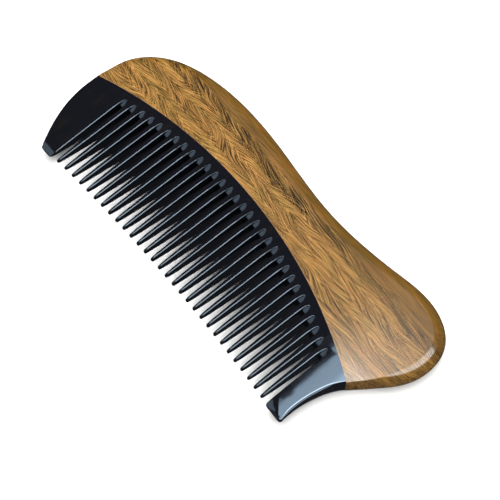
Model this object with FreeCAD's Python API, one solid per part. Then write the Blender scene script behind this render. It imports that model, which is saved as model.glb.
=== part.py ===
import FreeCAD, Part
import math
import os

os.makedirs("parts", exist_ok=True)

# A beard comb: a horn tooth plate tongued and glued into a shaped wooden spine.
# Millimetres. X runs along the tooth row, Y from the tooth tips to the spine, Z up.
# The comb lies on the flat lower face of its wood, with the origin under the middle of its outline.

# Thickness, the same across wood and horn: parallel faces, then a taper on both faces to the tips
WOOD_THICKNESS = 9.4
MID_Z = WOOD_THICKNESS / 2
TAPER_START_Y = 1.2
TAPER_ANGLE = math.radians(7.1)
TAPER_BLEND_RADIUS = 60.0

# Rounded rim of the spine, which fades out towards the horn
RIM_WIDTH = 4.8
RIM_ARC = math.radians(78)
RIM_SECTIONS = 7
RIM_FADE_Y = (-5.3, 12.7)

# Joint: an arc that bulges towards the spine, with a stopped tongue and a film of glue
JOINT_CENTRE = (-9.6, -150.0)
JOINT_RADIUS = 158.9
JOINT_LEFT_X = -69.3
JOINT_RIGHT_X = 57.9
TONGUE_THICKNESS = 3.0
TONGUE_DEPTH = 4.5
TONGUE_ENDS_X = (-60.5, 50.5)
GLUE = 0.1

# Back of the spine, from the right end of the joint round to the left end
BACK_POINTS = [
    (61.9, -0.9),
    (67.1, 6.0),
    (69.7, 15.2),
    (66.8, 25.0),
    (56.0, 30.4),
    (39.5, 28.8),
    (10.5, 25.6),
    (-15.0, 27.6),
    (-30.5, 28.0),
    (-49.3, 25.1),
    (-62.8, 18.1),
    (-69.5, 6.8),
]

# Guards at the two ends of the tooth row: outer edges, and the outer corner of each end
LEFT_GUARD_OUTER = [(-69.4, -7.9), (-68.5, -15.2), (-66.0, -22.6)]
LEFT_GUARD_CORNER = (-61.8, -30.7)
RIGHT_GUARD_OUTER = [(55.9, -10.3), (54.4, -16.6), (53.9, -21.8)]
RIGHT_GUARD_CORNER = (54.4, -28.5)
GUARD_CORNER_RADIUS = 1.0

# Tooth row: slots of equal pitch with rounded, ramped roots. The teeth narrow towards their tips,
# so the slots widen, and the guards keep straight inner sides
SLOTS = 31
SLOT_PITCH = 3.43
FIRST_SLOT_X = -56.35
SLOT_ROOT_WIDTH = 1.65
SLOT_TIP_WIDTH = 2.35
ROOT_TO_JOINT = 2.6
ROOT_RAMP = 2.0
TIP_ARC_TOP = (5.5, -26.2)
TIP_ARC_RADIUS = 600.0
TIP_LIMIT_Y = -34.0

FAR = 100.0
TOUCH = 0.001
OVERLAP = 0.01


def vec(x, y, z=0.0):
    return FreeCAD.Vector(x, y, z)


def joint_y(x, offset=0.0):
    """Y of the joint arc at x, or of the arc concentric with it at an offset."""
    centre_x, centre_y = JOINT_CENTRE
    return centre_y + math.sqrt((JOINT_RADIUS + offset) ** 2 - (x - centre_x) ** 2)


def segment(a, b):
    return Part.LineSegment(a, b).toShape()


def arc(a, middle, b):
    return Part.Arc(a, middle, b).toShape()


def prism(wire, low, high):
    """Solid between the heights low and high over a closed wire drawn in plan."""
    face = Part.Face(wire)
    face.translate(vec(0, 0, low))
    return face.extrude(vec(0, 0, high - low))


def through(wire):
    return prism(wire, -FAR / 10, WOOD_THICKNESS + FAR / 10)


def joint_disc(offset):
    """Everything on the horn's side of the joint arc, or of an arc at an offset from it."""
    disc = Part.makeCylinder(JOINT_RADIUS + offset, 3 * WOOD_THICKNESS)
    disc.translate(vec(*JOINT_CENTRE, -WOOD_THICKNESS))
    return disc


def thickness_blank():
    """Both faces over the whole length: parallel at the spine, blended into the taper."""
    start = TAPER_START_Y + TAPER_BLEND_RADIUS * math.tan(TAPER_ANGLE / 2)

    def on_blend(angle, side):
        drop = TAPER_BLEND_RADIUS * (1 - math.cos(angle))
        return vec(-FAR, start - TAPER_BLEND_RADIUS * math.sin(angle), MID_Z + side * (MID_Z - drop))

    def past_tips(side):
        end = on_blend(TAPER_ANGLE, side)
        return vec(-FAR, TIP_LIMIT_Y, end.z - side * (end.y - TIP_LIMIT_Y) * math.tan(TAPER_ANGLE))

    back_top = vec(-FAR, FAR / 2, WOOD_THICKNESS)
    back_low = vec(-FAR, FAR / 2, 0)
    edges = [
        segment(back_top, on_blend(0, 1)),
        arc(on_blend(0, 1), on_blend(TAPER_ANGLE / 2, 1), on_blend(TAPER_ANGLE, 1)),
        segment(on_blend(TAPER_ANGLE, 1), past_tips(1)),
        segment(past_tips(1), past_tips(-1)),
        segment(past_tips(-1), on_blend(TAPER_ANGLE, -1)),
        arc(on_blend(TAPER_ANGLE, -1), on_blend(TAPER_ANGLE / 2, -1), on_blend(0, -1)),
        segment(on_blend(0, -1), back_low),
        segment(back_low, back_top),
    ]
    return Part.Face(Part.Wire(edges)).extrude(vec(2 * FAR, 0, 0))


def outline_points():
    """Points round the comb, from the right guard's corner by the spine to the left guard's."""
    points = [RIGHT_GUARD_CORNER] + RIGHT_GUARD_OUTER[::-1]
    points += [(JOINT_RIGHT_X, joint_y(JOINT_RIGHT_X))] + BACK_POINTS
    points += [(JOINT_LEFT_X, joint_y(JOINT_LEFT_X))] + LEFT_GUARD_OUTER
    return [vec(*p) for p in points + [LEFT_GUARD_CORNER]]


def rim_width(y):
    """Width of the rounded rim at y: nothing on the guards, growing smoothly to its full width."""
    low, high = RIM_FADE_Y
    share = min(max((y - low) / (high - low), 0), 1)
    return RIM_WIDTH * share * share * (3 - 2 * share)


def rim_section(angle):
    """Outline of the comb at one angle round the rim, 0 at mid-thickness."""
    points = outline_points()
    curve = Part.BSplineCurve()
    curve.interpolate(points)
    z = MID_Z + MID_Z * math.sin(angle) / math.sin(RIM_ARC)
    inset = []
    for point in points:
        tangent = curve.tangent(curve.parameter(point))[0]
        inward = vec(-tangent.y, tangent.x)
        inset.append(point + inward * (rim_width(point.y) * (1 - math.cos(angle))) + vec(0, 0, z))
    around = Part.BSplineCurve()
    around.interpolate(inset)
    return Part.Wire([around.toShape(), segment(inset[-1], inset[0])])


def comb_body():
    """The whole comb before it is split at the joint and the teeth are cut."""
    steps = [2 * i / (RIM_SECTIONS - 1) - 1 for i in range(RIM_SECTIONS)]
    rounded = Part.makeLoft([rim_section(RIM_ARC * s) for s in steps], True)
    return rounded.common(thickness_blank())


def joint_parts(body):
    """Splits the body at the joint arc and adds the stopped tongue, its groove and the glue."""
    left, right = TONGUE_ENDS_X

    def band(inner, outer, thickness, margin):
        ring = joint_disc(outer).cut(joint_disc(inner))
        size = (right - left + 2 * margin, FAR, thickness)
        return ring.common(Part.makeBox(*size, vec(left - margin, -FAR / 2, MID_Z - thickness / 2)))

    tongue = band(-TONGUE_DEPTH, TONGUE_DEPTH, TONGUE_THICKNESS, 0)
    pocket = band(-TONGUE_DEPTH, TONGUE_DEPTH + GLUE, TONGUE_THICKNESS + 2 * GLUE, GLUE)
    horn = body.common(joint_disc(0)).fuse(tongue)
    wood = body.cut(joint_disc(GLUE)).cut(pocket)
    glue = body.cut(wood).cut(horn)
    return wood, horn.removeSplitter(), glue


def slot_x(i):
    return FIRST_SLOT_X + i * SLOT_PITCH


def tip_y(x):
    """Y at x of the arc on which the tooth tips begin to round off."""
    top_x, top_y = TIP_ARC_TOP
    return top_y - TIP_ARC_RADIUS + math.sqrt(TIP_ARC_RADIUS**2 - (x - top_x) ** 2)


def slot_edges(x, deep):
    """Sides and root of one slot in plan: a rounded root at the faces, or the deep one past the ramps."""
    low = tip_y(x)
    face_root = joint_y(x, -ROOT_TO_JOINT) - SLOT_ROOT_WIDTH / 2
    slope = (SLOT_TIP_WIDTH - SLOT_ROOT_WIDTH) / 2 / (face_root - low)

    def side_point(y, side):
        return vec(x + side * (SLOT_ROOT_WIDTH / 2 + slope * (face_root - y)), y)

    if deep:
        drop = ROOT_TO_JOINT + ROOT_RAMP - OVERLAP
        ends = [side_point(joint_y(x + side * SLOT_ROOT_WIDTH / 2, -drop), side) for side in (-1, 1)]
        middle = vec(x, joint_y(x, -drop))
    else:
        ends = [side_point(face_root, side) for side in (-1, 1)]
        middle = vec(x, face_root + SLOT_ROOT_WIDTH / 2)
    left, right = ends
    return [segment(side_point(low, -1), left), arc(left, middle, right), segment(right, side_point(low, 1))]


def tooth_row_gap(deep):
    """Plan of the space between the guards: the slots, joined below the rounded tooth tips."""
    edges = slot_edges(slot_x(0), deep)
    for i in range(1, SLOTS):
        slot = slot_edges(slot_x(i), deep)
        a = edges[-1].Vertexes[-1].Point
        b = slot[0].Vertexes[0].Point
        bulge = vec(0, -(b.x - a.x) / 2)
        edges += [arc(a, (a + b) / 2 + bulge, b)] + slot
    left_root = edges[0].Vertexes[1].Point
    right_root = edges[-1].Vertexes[0].Point
    left_low = vec(slot_x(0) - SLOT_ROOT_WIDTH / 2, TIP_LIMIT_Y)
    right_low = vec(slot_x(SLOTS - 1) + SLOT_ROOT_WIDTH / 2, TIP_LIMIT_Y)
    sides = [segment(left_low, left_root)] + edges[1:-1] + [segment(right_root, right_low)]
    return Part.Wire(sides + [segment(right_low, left_low)])


def ramp_ring():
    """Space above both 45 degree ramps that lead from the faces down into the slot roots."""
    outer = JOINT_RADIUS - ROOT_TO_JOINT
    inner = outer - ROOT_RAMP
    corners = [
        vec(outer, 0, WOOD_THICKNESS),
        vec(inner, 0, WOOD_THICKNESS - ROOT_RAMP),
        vec(inner, 0, WOOD_THICKNESS + ROOT_RAMP),
        vec(outer, 0, WOOD_THICKNESS + ROOT_RAMP),
    ]
    upper = Part.Face(Part.makePolygon(corners + corners[:1])).revolve(vec(0, 0, 0), vec(0, 0, 1), 360)
    upper.translate(vec(*JOINT_CENTRE))
    lower = upper.mirror(vec(0, 0, MID_Z), vec(0, 0, 1))
    return Part.makeCompound([upper, lower])


def cut_teeth(horn):
    slots = through(tooth_row_gap(True))
    ramps = through(tooth_row_gap(False)).common(ramp_ring())
    return horn.cut(slots).cut(ramps).Solids[0]


def round_guard_corners(horn):
    """Rounds the corners, in plan, where each guard ends."""
    left = slot_x(0) - SLOT_ROOT_WIDTH / 2 + TOUCH
    right = slot_x(SLOTS - 1) + SLOT_ROOT_WIDTH / 2 - TOUCH

    def is_guard_corner(edge):
        a, b = edge.Vertexes[0].Point, edge.Vertexes[-1].Point
        upright = math.hypot(a.x - b.x, a.y - b.y) < TOUCH and abs(a.z - b.z) > TOUCH
        return upright and a.y < TIP_ARC_TOP[1] and not left < a.x < right

    return horn.makeFillet(GUARD_CORNER_RADIUS, [e for e in horn.Edges if is_guard_corner(e)])


def write(name, shape):
    print(name, "valid:", shape.isValid(), "solids:", len(shape.Solids), "volume:", round(shape.Volume, 1))
    shape.Solids[0].exportStep(f"parts/{name}.step")


def main():
    wood, horn, glue = joint_parts(comb_body())
    write("wood_spine", wood)
    write("horn_tooth_plate", round_guard_corners(cut_teeth(horn)))
    write("joint_glue_film", glue)


main()
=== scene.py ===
import math

import bmesh
import bpy
import numpy as np
from mathutils import Matrix, Vector
from mathutils.geometry import delaunay_2d_cdt


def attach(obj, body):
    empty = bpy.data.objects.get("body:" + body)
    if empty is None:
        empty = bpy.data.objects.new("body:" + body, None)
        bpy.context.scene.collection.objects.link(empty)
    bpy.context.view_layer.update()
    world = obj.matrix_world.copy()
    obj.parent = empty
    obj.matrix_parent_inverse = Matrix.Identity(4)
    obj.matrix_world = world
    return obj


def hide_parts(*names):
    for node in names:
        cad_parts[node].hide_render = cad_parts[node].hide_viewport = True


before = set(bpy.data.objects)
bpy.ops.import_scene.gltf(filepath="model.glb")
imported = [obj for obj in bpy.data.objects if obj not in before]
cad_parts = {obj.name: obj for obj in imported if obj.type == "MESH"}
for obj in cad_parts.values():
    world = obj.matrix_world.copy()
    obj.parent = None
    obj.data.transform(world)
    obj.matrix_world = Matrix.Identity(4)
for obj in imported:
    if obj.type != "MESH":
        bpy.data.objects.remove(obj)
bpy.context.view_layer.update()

# Lengths of the horn are in millimetres until its mesh is written; camera, lights and floor are in metres
MM = 0.001

# Camera: azimuth from the front, tilt from straight above
VIEW_AZIMUTH = math.radians(51.53)
VIEW_TILT = math.radians(22.5)
VIEW_DISTANCE = 0.546
VIEW_LENS = 127.5
SENSOR_WIDTH = 36
VIEW_TARGET = Vector((0.00451, 0.00004, 0.0))

# Thickness: parallel faces at the spine, blended into a taper on both faces
THICKNESS = 9.4
MID_Z = THICKNESS / 2
TAPER_START_Y = 1.2
TAPER_ANGLE = math.radians(7.1)
TAPER_BLEND_RADIUS = 60.0

# Joint arc, and the stopped tongue hidden in the wood
JOINT_CENTRE = (-9.6, -150.0)
JOINT_RADIUS = 158.9
JOINT_LEFT_X = -69.3
JOINT_RIGHT_X = 57.9
TONGUE_THICKNESS = 3.0
TONGUE_DEPTH = 4.5
TONGUE_ENDS_X = (-60.5, 50.5)

# Outer edges of the two guards, from the joint to the corner of the end, with a point beyond the joint
LEFT_GUARD = [(-69.5, 6.8), (-69.3, -2.6), (-69.4, -7.9), (-68.5, -15.2), (-66.0, -22.6), (-61.8, -30.67)]
RIGHT_GUARD = [(61.9, -0.9), (57.9, -6.15), (55.9, -10.3), (54.4, -16.6), (53.9, -21.8), (54.4, -28.5)]
GUARD_CORNER_RADIUS = 1.0
LEFT_CORNER_INSET = 0.62
RIGHT_CORNER_END = -4
CORNER_GAP = 0.1
JOINT_GAP = 0.05

# Facets on the ends of the guards: lengths, slope, skew of the right one, and how softly they begin
LEFT_FACET_LENGTH = 3.4
RIGHT_FACET_LENGTH = 4.6
RIGHT_FACET_SKEW = 0.78
FACET_SLOPE = 0.26
FACET_BLEND = 1.8

# Tooth row
SLOTS = 31
SLOT_PITCH = 3.43
FIRST_SLOT_X = -56.35
SLOT_ROOT_WIDTH = 1.65
SLOT_TIP_WIDTH = 2.35
ROOT_TO_JOINT = 2.6
ROOT_RAMP = 2.3
RAMP_SLOPE = 0.42
RAMP_MARGIN = 0.5
TIP_ARC_TOP = (5.5, -26.2)
TIP_ARC_RADIUS = 600.0

# Polished edges: radius at the slot roots, along the teeth from root to tip, and on the guards
ROOT_EDGE_RADIUS = 0.14
ROOT_EASE = ((3.3, 0.3), (2.9, 0.28), (2.6, 0.25), (2.4, 0.2))
TOOTH_EDGE_RADII = (0.32, 0.42)
TOOTH_SIDE_DEPTH = 0.66
GUARD_EDGE_RADIUS = 0.3

# Broad roll on the outer edge of a guard: width and depth, and the runs over which it fades out
GUARD_ROLL = (0.85, 0.34)
ROLL_END_RUN = 3
ROLL_TOP_RUN = 6
ROLL_TOP_SHARE = 0.35
ROLL_INNER_MARGIN = 2

# Points along the outline, and levels from the face to the middle of the walls
SPLINE_STEPS = 9
CORNER_POINTS = 6
MOUTH_POINTS = 15
TIP_POINTS = 13
JOINT_POINTS = 90
TONGUE_POINTS = 60
WALL_SHARES = (0, 0.02, 0.04, 0.07, 0.1, 0.15, 0.3, 0.45, 0.6, 0.72, 0.82, 0.88, 0.93)
ROUNDING_STEPS = 5
RAMP_DEPTHS = (0.34, 0.5, 0.7, 0.97, 1.5, 2.2)

# Faces: margin inside the rounding, and grids of extra points, as start, end and step in x and in y
FLAT_MARGIN = 0.05
LATTICE_CLEARANCE = 0.25
BLEND_GRID = ((-69, 60, 1.1), (-5.0, 9.0, 0.8))
FACET_GRIDS_X = ((-68, -57, 0.6), (46, 55, 0.6))
FACET_GRID_RISE = (0.6, 5.0, 0.5)

# Mesh: limit of a corner's mitre, tolerances, what stands in for nought in a division, and sharp edges
MITRE_LIMIT = 0.7
PLAN_TOLERANCE = 1e-7
TINY = 1e-12
WELD_DISTANCE = 0.002
CREASE_ANGLE = math.radians(32)

# Bullet tips of the teeth: half width at the end, and how far the ends narrow and slope
TIP_HALF_WIDTH = 0.42
BULLET_LENGTH = 3.4
BULLET_LIFT = 0.9
TIP_EDGE_DEPTH = 0.9
TIP_EDGE_LOSS = 0.09


def joint_y(x, offset=0.0):
    """Y of the joint's arc at x, or of one concentric with it."""
    centre_x, centre_y = JOINT_CENTRE
    return centre_y + math.sqrt((JOINT_RADIUS + offset) ** 2 - (x - centre_x) ** 2)


def slot_x(i):
    return FIRST_SLOT_X + i * SLOT_PITCH


def tip_y(x):
    """Y at x of the arc on which the tooth tips begin to round off."""
    top_x, top_y = TIP_ARC_TOP
    return top_y - TIP_ARC_RADIUS + math.sqrt(TIP_ARC_RADIUS**2 - (x - top_x) ** 2)


def half_thickness(y):
    """Half the thickness of the comb before any facet is ground."""
    start = TAPER_START_Y + TAPER_BLEND_RADIUS * math.tan(TAPER_ANGLE / 2)
    run = start - y
    if run <= 0:
        return MID_Z
    blend = TAPER_BLEND_RADIUS * math.sin(TAPER_ANGLE)
    if run <= blend:
        return MID_Z - TAPER_BLEND_RADIUS + math.sqrt(TAPER_BLEND_RADIUS**2 - run**2)
    drop = TAPER_BLEND_RADIUS * (1 - math.cos(TAPER_ANGLE))
    return MID_Z - drop - (run - blend) * math.tan(TAPER_ANGLE)


GUARD_INNER_X = (slot_x(0) - SLOT_ROOT_WIDTH / 2, slot_x(SLOTS - 1) + SLOT_ROOT_WIDTH / 2)


def half_height(x, y):
    """Half the thickness at a point, with the facets ground on the ends of the guards."""
    half = half_thickness(y)
    if GUARD_INNER_X[0] < x < GUARD_INNER_X[1]:
        return half
    if x < 0:
        run = LEFT_GUARD[-1][1] + LEFT_FACET_LENGTH - y
    else:
        run = RIGHT_GUARD[-1][1] + RIGHT_FACET_LENGTH - y - RIGHT_FACET_SKEW * (x - GUARD_INNER_X[1])
    if run <= 0:
        return half
    return half - FACET_SLOPE * run * run / (run + FACET_BLEND)


def spline(points):
    """Points along a natural cubic spline, whose second derivatives m solve a linear system."""
    pts = np.array(points, float)
    t = np.concatenate([[0], np.cumsum(np.hypot(*np.diff(pts, axis=0).T))])
    h = np.diff(t)
    n = len(pts)
    a = np.eye(n)
    b = np.zeros((n, 2))
    for i in range(1, n - 1):
        a[i, i - 1 : i + 2] = h[i - 1], 2 * (h[i - 1] + h[i]), h[i]
        b[i] = 6 * ((pts[i + 1] - pts[i]) / h[i] - (pts[i] - pts[i - 1]) / h[i - 1])
    m = np.linalg.solve(a, b)
    out = []
    for i in range(n - 1):
        for u in np.linspace(0, h[i], SPLINE_STEPS, endpoint=False):
            v = h[i] - u
            p = (m[i] * v**3 + m[i + 1] * u**3) / (6 * h[i])
            p += (pts[i] / h[i] - m[i] * h[i] / 6) * v + (pts[i + 1] / h[i] - m[i + 1] * h[i] / 6) * u
            out.append(p)
    return out + [pts[-1]]


def corner(centre, start, end):
    """Points of a rounded guard corner, between two angles in degrees."""
    x, y = centre
    r = GUARD_CORNER_RADIUS
    angles = np.radians(np.linspace(start, end, CORNER_POINTS))
    return [(x + r * math.cos(a), y + r * math.sin(a)) for a in angles]


class Station:
    """One point of the horn's outline in plan, with what the rings above and below it need.

    apex is the level of the slot's root at the faces, or None away from the slots. radius and depth are the
    width and height of the rounded edge. lift draws the edge of a tooth's end back from the outline. sharp
    marks the joint, which has no rounding.
    """

    def __init__(self, x, y, apex=None, radius=GUARD_EDGE_RADIUS, sharp=False):
        self.x, self.y = x, y
        self.apex = apex
        self.radius = self.depth = radius
        self.lift = 0.0
        self.sharp = sharp


def tooth_end(i):
    """Level where the rounded tip of the tooth between slots i and i + 1 begins."""
    return (tip_y(slot_x(i)) + tip_y(slot_x(i + 1))) / 2


def bullet(run):
    """From 1 at the end of a tooth to 0 where the bullet shape begins."""
    return max(0.0, 1 - run / BULLET_LENGTH) ** 2


def slot_wall(i, sign, low, tip_width):
    """Stations up one side of a slot, from the tooth tips to the root."""
    x = slot_x(i)
    apex = joint_y(x, -ROOT_TO_JOINT)
    root = SLOT_ROOT_WIDTH / 2
    flare = (tip_width - SLOT_ROOT_WIDTH) / 2
    narrow = (SLOT_PITCH - tip_width) / 2 - TIP_HALF_WIDTH
    tooth = flare > 0
    top = apex - ROOT_RAMP
    if tooth:
        low -= narrow
    root_radius, tip_radius = TOOTH_EDGE_RADII
    wall = []
    for share in WALL_SHARES:
        y = low + share * (top - low)
        half = root + flare * (1 - share)
        station = Station(x + sign * half, y, apex, root_radius)
        if tooth:
            end = bullet(y - low)
            station.x += sign * narrow * end
            station.radius = root_radius + (tip_radius - root_radius) * (1 - share) - TIP_EDGE_LOSS * end
            station.depth = root_radius + (TOOTH_SIDE_DEPTH - root_radius) * (1 - share)
            station.lift = BULLET_LIFT * end
        wall.append(station)
    return wall


def guard_side_start(guard):
    """Level where the straight inner side of a guard begins, just past its rounded corner."""
    return guard[-1][1] + GUARD_CORNER_RADIUS + CORNER_GAP


def slot_stations(i):
    """Left side, root and right side of one slot; the guards keep straight sides."""
    x = slot_x(i)
    root = SLOT_ROOT_WIDTH / 2
    if i == 0:
        left = slot_wall(i, -1, guard_side_start(LEFT_GUARD), SLOT_ROOT_WIDTH)
    else:
        left = slot_wall(i, -1, tooth_end(i - 1), SLOT_TIP_WIDTH)
    if i == SLOTS - 1:
        right = slot_wall(i, 1, guard_side_start(RIGHT_GUARD), SLOT_ROOT_WIDTH)
    else:
        right = slot_wall(i, 1, tooth_end(i), SLOT_TIP_WIDTH)
    apex = left[0].apex
    mouth = []
    for a in np.radians(np.linspace(180, 0, MOUTH_POINTS)):
        y = apex - ROOT_RAMP * (1 - math.sin(a))
        mouth.append(Station(x + root * math.cos(a), y, apex, ROOT_EDGE_RADIUS))
    for side, sign in ((left, -1), (right, 1)):
        for below, radius in ROOT_EASE:
            side.append(Station(x + sign * root, apex - below, apex, radius))
    return left + mouth + right[::-1]


def tip_stations(i):
    """Rounded tip of the tooth between slots i and i + 1."""
    x = (slot_x(i) + slot_x(i + 1)) / 2
    end = tooth_end(i) - (SLOT_PITCH - SLOT_TIP_WIDTH) / 2
    out = []
    for t in np.linspace(0, math.pi, TIP_POINTS)[1:-1]:
        swell = math.sin(t)
        y = end + TIP_HALF_WIDTH * (1 - swell)
        radius = TOOTH_EDGE_RADII[1] - TIP_EDGE_LOSS
        station = Station(x - TIP_HALF_WIDTH * math.cos(t), y, radius=radius)
        station.depth = TOOTH_SIDE_DEPTH + (TIP_EDGE_DEPTH - TOOTH_SIDE_DEPTH) * swell
        station.lift = BULLET_LIFT
        out.append(station)
    return out


def rolled(stations):
    """Gives the outer edge of a guard a broad roll, easing to a small one at the end and the joint."""
    width, depth = GUARD_ROLL
    low = min(s.y for s in stations)
    top = max(s.y for s in stations)
    for s in stations:
        ease = min(1.0, max(0.0, s.y - low - GUARD_CORNER_RADIUS) / ROLL_END_RUN)
        if GUARD_INNER_X[0] - ROLL_INNER_MARGIN < s.x < GUARD_INNER_X[1] + ROLL_INNER_MARGIN:
            ease = 0.0
        joint_ease = min(1.0, ROLL_TOP_SHARE + (top - s.y) / ROLL_TOP_RUN)
        s.radius = GUARD_EDGE_RADIUS + (width - GUARD_EDGE_RADIUS) * ease * joint_ease
        s.depth = GUARD_EDGE_RADIUS + (depth - GUARD_EDGE_RADIUS) * ease
    return stations


def guard_edge(guard, joint_x):
    """Outer edge of a guard from the joint down to where its rounded corner takes over."""
    top = joint_y(joint_x)
    run = [tuple(p) for p in spline(guard) if p[1] < top - JOINT_GAP]
    return [(joint_x, top)] + run[:-2]


def left_guard_stations():
    (before_x, before_y), (end_x, end_y) = LEFT_GUARD[-2:]
    lean = math.degrees(math.atan2(end_y - before_y, end_x - before_x))
    inner = (GUARD_INNER_X[0] - GUARD_CORNER_RADIUS, end_y + GUARD_CORNER_RADIUS)
    outer = (end_x + LEFT_CORNER_INSET, end_y + GUARD_CORNER_RADIUS)
    points = guard_edge(LEFT_GUARD, JOINT_LEFT_X)
    points += corner(outer, lean - 90, -90) + corner(inner, -90, 0)
    return rolled([Station(*p) for p in points])


def right_guard_stations():
    end_x, end_y = RIGHT_GUARD[-1]
    inner = (GUARD_INNER_X[1] + GUARD_CORNER_RADIUS, end_y + GUARD_CORNER_RADIUS)
    outer = (end_x - GUARD_CORNER_RADIUS, end_y + GUARD_CORNER_RADIUS)
    points = corner(inner, 180, 270) + corner(outer, -90, RIGHT_CORNER_END)
    points += guard_edge(RIGHT_GUARD, JOINT_RIGHT_X)[::-1]
    return rolled([Station(*p) for p in points])


def horn_outline():
    """Stations round the horn, anticlockwise in plan from the left end of the joint."""
    out = left_guard_stations()
    for i in range(SLOTS):
        out += slot_stations(i)
        if i < SLOTS - 1:
            out += tip_stations(i)
    out += right_guard_stations()
    for x in np.linspace(JOINT_RIGHT_X, JOINT_LEFT_X, JOINT_POINTS)[1:-1]:
        out.append(Station(x, joint_y(x), sharp=True))
    return out


def inward_normals(stations):
    """Directions into the horn, which lies to the left of the outline's direction.

    Beside the joint they run along it, so the rounded edges end on the joint's arc.
    """
    pts = np.array([(s.x, s.y) for s in stations])
    ahead = np.roll(pts, -1, axis=0) - pts
    back = pts - np.roll(pts, 1, axis=0)
    ahead /= np.linalg.norm(ahead, axis=1)[:, None]
    back /= np.linalg.norm(back, axis=1)[:, None]
    along = ahead + back
    along /= np.linalg.norm(along, axis=1)[:, None]
    stretch = 1 / np.clip((along * ahead).sum(axis=1), MITRE_LIMIT, 1)
    normals = np.stack([-along[:, 1], along[:, 0]], axis=1) * stretch[:, None]
    for i, station in enumerate(stations):
        if not station.sharp and stations[i - 1].sharp:
            normals[i] = -back[i] / abs(np.cross(ahead[i], back[i]))
        if not station.sharp and stations[(i + 1) % len(stations)].sharp:
            normals[i] = ahead[i] / abs(np.cross(ahead[i], back[i]))
    return normals


def ring(stations, normals, level):
    """Ring of points at one level from the face (0) to the middle of the walls."""
    out = []
    for station, normal in zip(stations, normals):
        x, y = station.x, station.y
        shrink = 0.0
        if level <= ROUNDING_STEPS:
            angle = math.pi / 2 * level / ROUNDING_STEPS
            drop = station.depth * (1 - math.cos(angle))
            shrink = 1 - math.sin(angle)
        else:
            drop = RAMP_DEPTHS[level - ROUNDING_STEPS - 1]
            if station.apex is None or y < station.apex - ROOT_RAMP - RAMP_MARGIN:
                spare = half_height(x, y) - station.depth
                drop = station.depth + spare * (level - ROUNDING_STEPS) / (len(RAMP_DEPTHS) + 1)
        if station.apex is not None:
            y = min(y, station.apex - min(drop / RAMP_SLOPE, ROOT_RAMP))
        if not station.sharp:
            x += normal[0] * station.radius * shrink
            y += normal[1] * station.radius * shrink + station.lift * shrink
        out.append((x, y, MID_Z + half_height(x, y) - drop))
    return out


def face_loop(stations, normals):
    """Loop just inside the rounding, which keeps the polished face flat."""
    out = []
    for station, normal in zip(stations, normals):
        inset = 0.0 if station.sharp else station.radius + FLAT_MARGIN
        x, y = station.x + normal[0] * inset, station.y + normal[1] * inset + station.lift
        out.append((x, y, MID_Z + half_height(x, y)))
    return out


def lattice(loop):
    """Extra points on the faces where they curve: in the blend of the taper and on the facets."""
    start = np.array([p[:2] for p in loop])
    side = np.roll(start, -1, axis=0) - start
    square = np.maximum((side**2).sum(axis=1), TINY)
    rise = np.where(side[:, 1] == 0, TINY, side[:, 1])

    def inside(x, y):
        """Whether the point is within the loop, by crossings of a ray along +X, and clear of its sides."""
        to = np.array((x, y)) - start
        along = np.clip((to * side).sum(axis=1) / square, 0, 1)
        clear = np.min(np.linalg.norm(to - side * along[:, None], axis=1)) > LATTICE_CLEARANCE
        cross = (start[:, 1] > y) != (start[:, 1] + side[:, 1] > y)
        at = start[:, 0] + to[:, 1] * side[:, 0] / rise
        return clear and np.count_nonzero(cross & (at > x)) % 2 == 1

    def grid(xs, ys):
        return [(x, y, MID_Z + half_height(x, y)) for y in ys for x in xs if inside(x, y)]

    out = grid(*(np.arange(*span) for span in BLEND_GRID))
    rise_start, rise_end, rise_step = FACET_GRID_RISE
    for guard, span in zip((LEFT_GUARD, RIGHT_GUARD), FACET_GRIDS_X):
        end = guard[-1][1]
        out += grid(np.arange(*span), np.arange(end + rise_start, end + rise_end, rise_step))
    return out


def flipped(points):
    """The same points on the lower face."""
    return [(x, y, THICKNESS - z) for x, y, z in points]


def cap_faces(loop, extra):
    """Triangles over a closed loop with extra points inside it."""
    plan = [Vector(p[:2]) for p in loop + extra]
    outline = [list(range(len(loop)))]
    inside_only = 1
    _, _, triangles, origins, _, _ = delaunay_2d_cdt(plan, [], outline, inside_only, PLAN_TOLERANCE)
    return [[origins[i][0] for i in face] for face in triangles]


def stack_faces(count, levels):
    """Quads between closed rings of count points that lie one below another."""
    faces = []
    for k in range(levels - 1):
        for i in range(count):
            j = (i + 1) % count
            faces.append((k * count + i, (k + 1) * count + i, (k + 1) * count + j, k * count + j))
    return faces


def horn_body():
    """Points and faces of the horn plate: rings from face to face, and a cap on each face."""
    stations = horn_outline()
    normals = inward_normals(stations)
    levels = ROUNDING_STEPS + len(RAMP_DEPTHS) + 1
    upper = [face_loop(stations, normals)] + [ring(stations, normals, k) for k in range(levels)]
    extra = lattice(upper[0])
    rings = upper + [flipped(r) for r in upper[::-1]]
    count = len(stations)
    verts = [p for r in rings for p in r]
    faces = stack_faces(count, len(rings))
    for points, base, turn in ((extra, 0, False), (flipped(extra), count * (len(rings) - 1), True)):
        start = len(verts)
        verts += points
        for face in cap_faces(upper[0], extra):
            ids = [base + i if i < count else start + i - count for i in face]
            faces.append(tuple(ids[::-1] if turn else ids))
    return verts, faces


def tongue():
    """Stopped tongue, a curved strip half in the horn and half in the wood."""
    def edge(offset):
        return [(x, joint_y(x, offset)) for x in np.linspace(*TONGUE_ENDS_X, TONGUE_POINTS)]

    loop = edge(-TONGUE_DEPTH) + edge(TONGUE_DEPTH)[::-1]
    top = [(x, y, MID_Z + TONGUE_THICKNESS / 2) for x, y in loop]
    verts = top + flipped(top)
    faces = stack_faces(len(loop), 2)
    cap = cap_faces(top, [])
    faces += [tuple(f) for f in cap]
    faces += [tuple(len(loop) + i for i in f[::-1]) for f in cap]
    return verts, faces


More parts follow.
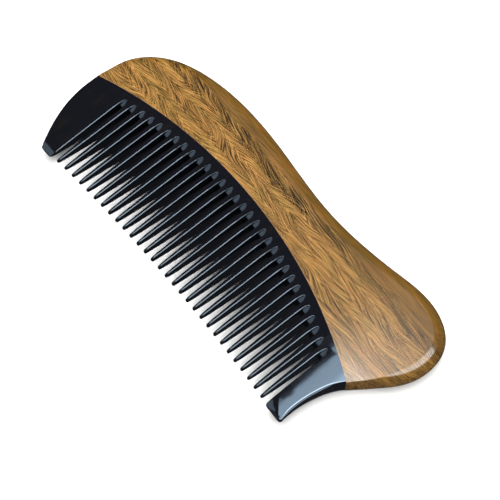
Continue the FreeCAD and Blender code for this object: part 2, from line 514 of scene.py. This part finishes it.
def weld(mesh):
    """Joins points that fall together, as on the walls beside the ramps."""
    net = bmesh.new()
    net.from_mesh(mesh)
    bmesh.ops.remove_doubles(net, verts=net.verts, dist=WELD_DISTANCE * MM)
    bmesh.ops.dissolve_degenerate(net, edges=net.edges, dist=WELD_DISTANCE * MM)
    net.to_mesh(mesh)
    net.free()


def add_mesh(name, parts):
    """One object from several closed shapes, with smooth shading and sharp creases."""
    verts, faces = [], []
    for part_verts, part_faces in parts:
        faces += [tuple(len(verts) + i for i in f) for f in part_faces]
        verts += part_verts
    mesh = bpy.data.meshes.new(name)
    mesh.from_pydata([(x * MM, y * MM, z * MM) for x, y, z in verts], [], faces)
    weld(mesh)
    mesh.shade_smooth()
    mesh.set_sharp_from_angle(angle=CREASE_ANGLE)
    piece = bpy.data.objects.new(name, mesh)
    bpy.context.scene.collection.objects.link(piece)
    return piece


class Graph:
    """Small helper for building node materials."""

    def __init__(self, name):
        self.material = bpy.data.materials.new(name)
        self.material.use_nodes = True
        self.tree = self.material.node_tree
        self.shader = self.tree.nodes["Principled BSDF"]

    def add(self, kind, inputs=None, out=0, **settings):
        node = self.tree.nodes.new(kind)
        for key, value in settings.items():
            setattr(node, key, value)
        for key, value in (inputs or {}).items():
            self.plug(node.inputs[key], value)
        return node.outputs[out]

    def plug(self, socket, value):
        if isinstance(value, bpy.types.NodeSocket):
            self.tree.links.new(value, socket)
        else:
            socket.default_value = value

    def math(self, operation, a, b=0.0, c=0.0, clamp=False):
        return self.add("ShaderNodeMath", {0: a, 1: b, 2: c}, operation=operation, use_clamp=clamp)

    def noise(self, vector, detail, rough):
        inputs = {"Vector": vector, "Scale": 1.0, "Detail": detail, "Roughness": rough}
        return self.add("ShaderNodeTexNoise", inputs)

    def layer(self, place, scales, shift, detail, rough):
        """Noise stretched by a scale along each axis, and shifted along the first."""
        x, y, z = place
        scale_x, scale_y, scale_z = scales
        moved = self.math("MULTIPLY_ADD", x, scale_x, shift)
        vector = self.vector(moved, self.math("MULTIPLY", y, scale_y), self.math("MULTIPLY", z, scale_z))
        return self.noise(vector, detail, rough)

    def centred(self, value, gain):
        """A noise value, scaled by gain and centred on nought."""
        return self.math("MULTIPLY_ADD", value, gain, -gain / 2)

    def vector(self, x, y, z):
        return self.add("ShaderNodeCombineXYZ", {0: x, 1: y, 2: z})

    def spread(self, value, low, high, to_low=0.0, to_high=1.0, smooth=True):
        inputs = {"Value": value, "From Min": low, "From Max": high, "To Min": to_low, "To Max": to_high}
        return self.add("ShaderNodeMapRange", inputs, interpolation_type="SMOOTHSTEP" if smooth else "LINEAR")

    def ramp(self, value, stops):
        node = self.add("ShaderNodeValToRGB", {"Fac": value}).node
        while len(node.color_ramp.elements) < len(stops):
            node.color_ramp.elements.new(0.5)
        for element, (place, colour) in zip(node.color_ramp.elements, stops):
            element.position = place
            element.color = (*colour, 1)
        return node.outputs[0]

    def mix(self, factor, a, b, blend="MIX"):
        inputs = {0: factor, 6: a, 7: b}
        return self.add("ShaderNodeMix", inputs, out=2, data_type="RGBA", blend_type=blend)

    def place_mm(self):
        """Position in the CAD frame, in millimetres."""
        place = self.add("ShaderNodeTexCoord", out=3)
        scaled = self.add("ShaderNodeVectorMath", {0: place, "Scale": 1 / MM}, operation="SCALE")
        split = self.add("ShaderNodeSeparateXYZ", {0: scaled}).node
        return split.outputs[0], split.outputs[1], split.outputs[2]

    def tint(self, colour, amount, share, by):
        """The colour multiplied by another, as far as the amount and the share go."""
        return self.mix(self.math("MULTIPLY", amount, share), colour, by, "MULTIPLY")

    def bump(self, height, strength, distance):
        inputs = {"Height": height, "Strength": strength, "Distance": distance}
        self.surface({"Normal": self.add("ShaderNodeBump", inputs)})

    def surface(self, settings):
        """Sets inputs of the surface shader, each a value or another node's output."""
        for key, value in settings.items():
            self.plug(self.shader.inputs[key], value)


def srgb(r, g, b):
    """Linear colour of 8-bit sRGB values."""
    return tuple((c / 255 / 12.92) if c <= 10 else ((c / 255 + 0.055) / 1.055) ** 2.4 for c in (r, g, b))


# Interlocked grain: bands of strokes that lean one way and then the other, below a plain strip
BAND_HEIGHT = 3.4
BAND_START_Y = 0.6
PLAIN_START_Y = 21.2
PLAIN_EASE = (-1.0, 1.2)
GRAIN_DIP = 0.3

# Two layers of strokes: width and length in mm, shift along the spine, rise of the bands, share of the slant
WIDE_STROKES = (0.6, 2.4, 0.0, 0.0, 0.85)
THIN_STROKES = (0.32, 2.0, 31.0, 1.1, 1.3)
STROKE_DEPTH_SCALE = 0.35
STROKE_DETAIL = (3, 0.62)

# Slant of the strokes from one x to another, with the gain and the least of its lean, and how far in mm
# the bands wander and the strokes jitter
SLANT_X = (-20, 62)
SLANT = (3.0, 6.2)
LEAN = (0.9, 0.55)
WANDER_MM = 4.0
JITTER_MM = 5.0

# Noise layers of the wood: scales per mm in x, y and z, shift, detail and roughness
WANDER_LAYER = ((0.06, 0.1, 0.1), 0.0, 1, 0.5)
LEAN_LAYER = ((0.07, 0.12, 0.1), 50.0, 1, 0.5)
JITTER_LAYER = ((0.09, 0.14, 0.3), 9.0, 1, 0.5)
FIBRE_LAYER = ((0.09, 3.0, 2.2), 0.0, 4, 0.65)
LONG_FIBRE_LAYER = ((0.025, 0.9, 0.9), 5.0, 3, 0.6)
PATCH_LAYER = ((0.06, 0.3, 1.0), 0.0, 2, 0.5)
OLIVE_LAYER = ((0.12, 0.7, 0.5), 3.0, 3, 0.5)
RUST_LAYER = ((0.2, 1.1, 0.6), 17.0, 3, 0.5)

# Share of each layer in the tone, which runs from 0, darkest, to 1, palest
WIDE_GAIN = 2.4
THIN_GAIN = 5.0
FIBRE_GAIN = 0.7
LONG_FIBRE_GAIN = 0.3
PATCH_GAIN = 0.2
GOLD_GAIN = 0.085
GOLD_SHIFT = 2.2
TOP_BAND_GAIN = -0.2
TOP_BAND_START = (16.6, 18.4)
TOP_BAND_END = (20.4, 22.4)
PLAIN_GAIN = -0.07
PLAIN_CALM = -0.85
MIDDLE_TONE = 0.55
WOOD_TONES = (
    (0.0, (26, 21, 9)),
    (0.24, (52, 39, 14)),
    (0.42, (86, 61, 23)),
    (0.56, (108, 76, 30)),
    (0.72, (130, 91, 38)),
    (1.0, (168, 124, 60)),
)

# Tints over the tone: range of noise in which each comes in, its share and its colour
OLIVE_RANGE = (0.45, 0.68)
OLIVE_SHARE = 0.7
OLIVE_TINT = (0.80, 0.95, 0.80, 1)
RUST_RANGE = (0.5, 0.7)
RUST_SHARE = 0.6
RUST_TINT = (1.06, 0.86, 0.72, 1)

# Finish of the wood. Each roughness gives two values of a noise and the roughness at each; each bump
# gives its strength, and its height in metres.
WOOD_ROUGHNESS = (0.3, 0.7, 0.5, 0.38)
WOOD_FINISH = {"Specular IOR Level": 0.05, "Coat Weight": 0.8, "Coat Roughness": 0.15, "Coat IOR": 1.5}
WOOD_BUMP = (0.2, 0.00008)
THIN_BUMP_SHARE = 0.5

# Horn: flow lines between two near blacks, faint clouds, and a polish with a blue cast
FLOW_LAYER = ((0.5, 0.06, 0.4), 0.0, 4, 0.6)
FLOW_RANGE = (0.45, 0.75)
CLOUD_LAYER = ((0.05, 0.05, 1.0), 0.0, 2, 0.5)
CLOUD_RANGE = (0.35, 0.7)
POLISH_LAYER = ((0.25, 0.12, 0.25), 0.0, 2, 0.5)
HORN_BLACKS = ((0.0042, 0.0044, 0.006, 1), (0.0075, 0.0062, 0.0055, 1))
HORN_ROUGHNESS = (0.3, 0.7, 0.025, 0.045)
HORN_FINISH = {"IOR": 1.54, "Specular Tint": (0.70, 0.86, 1.0, 1)}
HORN_BUMP = (0.008, 0.00025)
FLOW_BUMP_SHARE = 0.1

# Glue and floor
GLUE_LAYER = ((0.8, 0.8, 0.8), 0.0, 3, 0.5)
GLUE_AMBERS = ((96, 66, 34), (150, 112, 66))
GLUE_ROUGHNESS = (0.3, 0.7, 0.35, 0.5)
GLUE_BUMP = (0.1, 0.00005)
FLOOR_LAYER = ((0.05, 0.05, 0.05), 0.0, 3, 0.5)
FLOOR_WHITES = ((0.87, 0.87, 0.86, 1), (0.9, 0.9, 0.89, 1))
FLOOR_FINISH = {"Roughness": 0.9, "Specular IOR Level": 0.0}


def wood_strokes(g, x, z, level, slant, jitter, layer):
    """Slanted strokes, with the bands raised and the slant scaled so that two layers interleave."""
    width, length, shift, rise, steep = layer
    band = g.math("PINGPONG", g.math("SUBTRACT", level, BAND_START_Y + rise), BAND_HEIGHT)
    lie = g.math("MULTIPLY", g.math("MULTIPLY", band, slant), steep)
    u = g.math("ADD", g.math("SUBTRACT", x, lie), g.math("ADD", jitter, shift))
    across, along = g.math("DIVIDE", u, width), g.math("DIVIDE", level, length)
    return g.noise(g.vector(across, along, g.math("MULTIPLY", z, STROKE_DEPTH_SCALE)), *STROKE_DETAIL)


def wood_bands(g, level, plain):
    """A slow tone for each band: golden in every other one, and darkest in the topmost."""
    middle = BAND_START_Y + GOLD_SHIFT + 2 * BAND_HEIGHT
    turn = math.pi / BAND_HEIGHT
    gold = g.math("COSINE", g.math("MULTIPLY", g.math("SUBTRACT", level, middle), turn))
    feathered = g.math("SUBTRACT", 1.0, plain)
    begin = g.spread(level, *TOP_BAND_START)
    top_band = g.math("MULTIPLY", begin, g.spread(level, *TOP_BAND_END, 1.0, 0.0))
    tone = g.math("MULTIPLY", g.math("MULTIPLY", gold, feathered), GOLD_GAIN)
    tone = g.math("MULTIPLY_ADD", top_band, TOP_BAND_GAIN, tone)
    return g.math("MULTIPLY_ADD", plain, PLAIN_GAIN, tone)


def wood_material():
    """Feather grain in gold, olive and dark brown under a satin finish."""
    g = Graph("feather_grain_wood")
    place = x, y, z = g.place_mm()

    # Height in the grain, which wanders and dips through the thickness, and where it turns plain
    wander = g.centred(g.layer(place, *WANDER_LAYER), WANDER_MM)
    dip = g.math("MULTIPLY_ADD", z, GRAIN_DIP, -GRAIN_DIP * THICKNESS)
    level = g.math("ADD", dip, g.math("ADD", y, wander))
    plain = g.spread(level, *(PLAIN_START_Y + ease for ease in PLAIN_EASE))

    lean = g.math("MULTIPLY_ADD", g.layer(place, *LEAN_LAYER), *LEAN)
    slant = g.math("MULTIPLY", g.spread(x, *SLANT_X, *SLANT, smooth=False), lean)
    jitter = g.centred(g.layer(place, *JITTER_LAYER), JITTER_MM)
    wide = wood_strokes(g, x, z, level, slant, jitter, WIDE_STROKES)
    thin = wood_strokes(g, x, z, level, slant, jitter, THIN_STROKES)
    fibre = g.layer(place, *FIBRE_LAYER)
    long_fibre = g.layer(place, *LONG_FIBRE_LAYER)
    patch = g.layer((x, level, 0.0), *PATCH_LAYER)

    tone = g.math("ADD", g.centred(wide, WIDE_GAIN), g.centred(thin, THIN_GAIN))
    tone = g.math("MULTIPLY", tone, g.math("MULTIPLY_ADD", plain, PLAIN_CALM, 1.0))
    for layer, gain in ((fibre, FIBRE_GAIN), (long_fibre, LONG_FIBRE_GAIN), (patch, PATCH_GAIN)):
        tone = g.math("ADD", tone, g.centred(layer, gain))
    tone = g.math("ADD", tone, wood_bands(g, level, plain))
    tone = g.math("ADD", tone, MIDDLE_TONE, clamp=True)

    colour = g.ramp(tone, [(stop, srgb(*value)) for stop, value in WOOD_TONES])
    olive = g.spread(g.layer(place, *OLIVE_LAYER), *OLIVE_RANGE)
    rust = g.spread(g.layer(place, *RUST_LAYER), *RUST_RANGE)
    colour = g.tint(colour, olive, OLIVE_SHARE, OLIVE_TINT)
    colour = g.tint(colour, rust, RUST_SHARE, RUST_TINT)
    g.surface({"Base Color": colour, "Roughness": g.spread(fibre, *WOOD_ROUGHNESS), **WOOD_FINISH})
    g.bump(g.math("MULTIPLY_ADD", thin, THIN_BUMP_SHARE, fibre), *WOOD_BUMP)
    return g.material


def horn_material():
    """Polished black horn with faint brown flow lines."""
    g = Graph("polished_black_horn")
    place = g.place_mm()
    flow = g.layer(place, *FLOW_LAYER)
    cloud = g.layer(place, *CLOUD_LAYER)
    polish = g.layer(place, *POLISH_LAYER)
    amount = g.math("MULTIPLY", g.spread(flow, *FLOW_RANGE), g.spread(cloud, *CLOUD_RANGE))
    colour = g.mix(amount, *HORN_BLACKS)
    g.surface({"Base Color": colour, "Roughness": g.spread(flow, *HORN_ROUGHNESS), **HORN_FINISH})
    g.bump(g.math("MULTIPLY_ADD", flow, FLOW_BUMP_SHARE, polish), *HORN_BUMP)
    return g.material


def glue_material():
    """Thin amber line of hardened glue."""
    g = Graph("amber_glue")
    cloud = g.layer(g.place_mm(), *GLUE_LAYER)
    dark, light = ((*srgb(*amber), 1) for amber in GLUE_AMBERS)
    g.surface({"Base Color": g.mix(cloud, dark, light), "Roughness": g.spread(cloud, *GLUE_ROUGHNESS)})
    g.bump(cloud, *GLUE_BUMP)
    return g.material


def floor_material():
    """Matt white, barely clouded."""
    g = Graph("pale_floor")
    cloud = g.layer(g.place_mm(), *FLOOR_LAYER)
    g.surface({"Base Color": g.mix(cloud, *FLOOR_WHITES), **FLOOR_FINISH})
    return g.material


def add_camera():
    """Camera that looks down past the front of the comb, turned so that the comb lies across the frame."""
    data = bpy.data.cameras.new("camera")
    data.lens = VIEW_LENS
    data.sensor_width = SENSOR_WIDTH
    camera = bpy.data.objects.new("camera", data)
    bpy.context.scene.collection.objects.link(camera)
    side = math.sin(VIEW_TILT)
    back = Vector((side * math.sin(VIEW_AZIMUTH), -side * math.cos(VIEW_AZIMUTH), math.cos(VIEW_TILT)))
    right = Vector((math.cos(VIEW_AZIMUTH), math.sin(VIEW_AZIMUTH), 0))
    turn = Matrix((right, back.cross(right), back)).transposed().to_4x4()
    camera.matrix_world = Matrix.Translation(VIEW_TARGET + back * VIEW_DISTANCE) @ turn
    bpy.context.scene.camera = camera


FLOOR_HALF_SIZE = 0.7
FLOOR_GAP = 0.0001
DARK_ROOM = (0.03, 0.032, 0.038, 1)
WHITE_BACKDROP = (1, 1, 1, 1)
WHITE = (1, 1, 1)
PALE_BLUE = (0.80, 0.90, 1.0)
BLUE = (0.78, 0.88, 1.0)

# Studio. Lights that only light surfaces: name, place, aim, size and radiance
LAMPS = (
    ("key", (-0.17, 0.14, 0.85), (0, 0, 0), (0.42, 0.42), 6.5),
    ("ceiling", (-0.1, 0.1, 0.95), (-0.1, 0.1, 0), (1.7, 1.7), 3.4),
)

# Panels that only show in polish: name, place, aim, size, radiance and colour
PANELS = (
    ("softbox_far", (-0.033, 0.094, 0.60), (-0.033, 0.094, 0), (0.12, 0.188), 6.5, PALE_BLUE),
    ("softbox_near", (-0.028, -0.042, 0.60), (-0.028, -0.042, 0), (0.12, 0.084), 8.0, PALE_BLUE),
    ("softbox_core", (0.030, -0.06, 0.59), (0.030, -0.06, 0), (0.206, 0.22), 5.0, PALE_BLUE),
    ("softbox_edge", (0.045, -0.06, 0.58), (0.045, -0.06, 0), (0.190, 0.22), 14.0, WHITE),
    ("right_window", (0.56, 0.12, 0.55), (0, 0.02, 0), (0.70, 0.46), 10.0, WHITE),
    ("tip_card", (-0.25, -0.47, 0.60), (-0.25, -0.47, 0), (0.44, 0.40), 1.8, BLUE),
)


def add_light(name, place, aim, size, radiance, colour=WHITE, glossy=False):
    """Rectangular studio light, seen either in polish or in the light on surfaces, never in both."""
    data = bpy.data.lights.new(name, "AREA")
    data.shape = "RECTANGLE"
    data.size, data.size_y = size
    data.energy = radiance * math.pi * data.size * data.size_y
    data.color = colour
    light = bpy.data.objects.new(name, data)
    light.location = place
    light.rotation_euler = (Vector(aim) - Vector(place)).to_track_quat("-Z", "Y").to_euler()
    light.visible_glossy = glossy
    light.visible_diffuse = not glossy
    bpy.context.scene.collection.objects.link(light)


def add_floor():
    """Pale floor just below the comb, kept out of the reflections in the horn."""
    half = FLOOR_HALF_SIZE
    mesh = bpy.data.meshes.new("floor")
    corners = [(-half, -half, 0), (half, -half, 0), (half, half, 0), (-half, half, 0)]
    mesh.from_pydata(corners, [], [(0, 1, 2, 3)])
    floor = bpy.data.objects.new("floor", mesh)
    floor.location.z = -FLOOR_GAP
    floor.visible_glossy = False
    bpy.context.scene.collection.objects.link(floor)
    floor.data.materials.append(floor_material())


def add_world():
    """Dark room round the lights, with a plain white backdrop behind the floor."""
    world = bpy.data.worlds.new("studio")
    bpy.context.scene.world = world
    world.use_nodes = True
    nodes, links = world.node_tree.nodes, world.node_tree.links
    seen = nodes.new("ShaderNodeLightPath")
    room = nodes.new("ShaderNodeMix")
    room.data_type = "RGBA"
    room.inputs[6].default_value = DARK_ROOM
    room.inputs[7].default_value = WHITE_BACKDROP
    links.new(seen.outputs["Is Camera Ray"], room.inputs[0])
    links.new(room.outputs[2], nodes["Background"].inputs[0])
    bpy.context.scene.view_settings.view_transform = "Standard"


def add_lighting():
    for lamp in LAMPS:
        add_light(*lamp)
    for panel in PANELS:
        add_light(*panel, glossy=True)


def dress(node_name, material):
    """Gives a carried-over CAD node its detailed material in every slot."""
    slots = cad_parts[node_name].data.materials
    if not slots:
        slots.append(material)
    for i in range(len(slots)):
        slots[i] = material


def add_horn():
    """The detailed horn plate, with its hidden tongue, in place of the CAD node."""
    piece = add_mesh("horn_comb_plate", [horn_body(), tongue()])
    piece.data.materials.append(horn_material())
    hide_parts("horn_tooth_plate")
    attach(piece, "root")


add_horn()
dress("wood_spine", wood_material())
dress("joint_glue_film", glue_material())
add_floor()
add_lighting()
add_world()
add_camera()
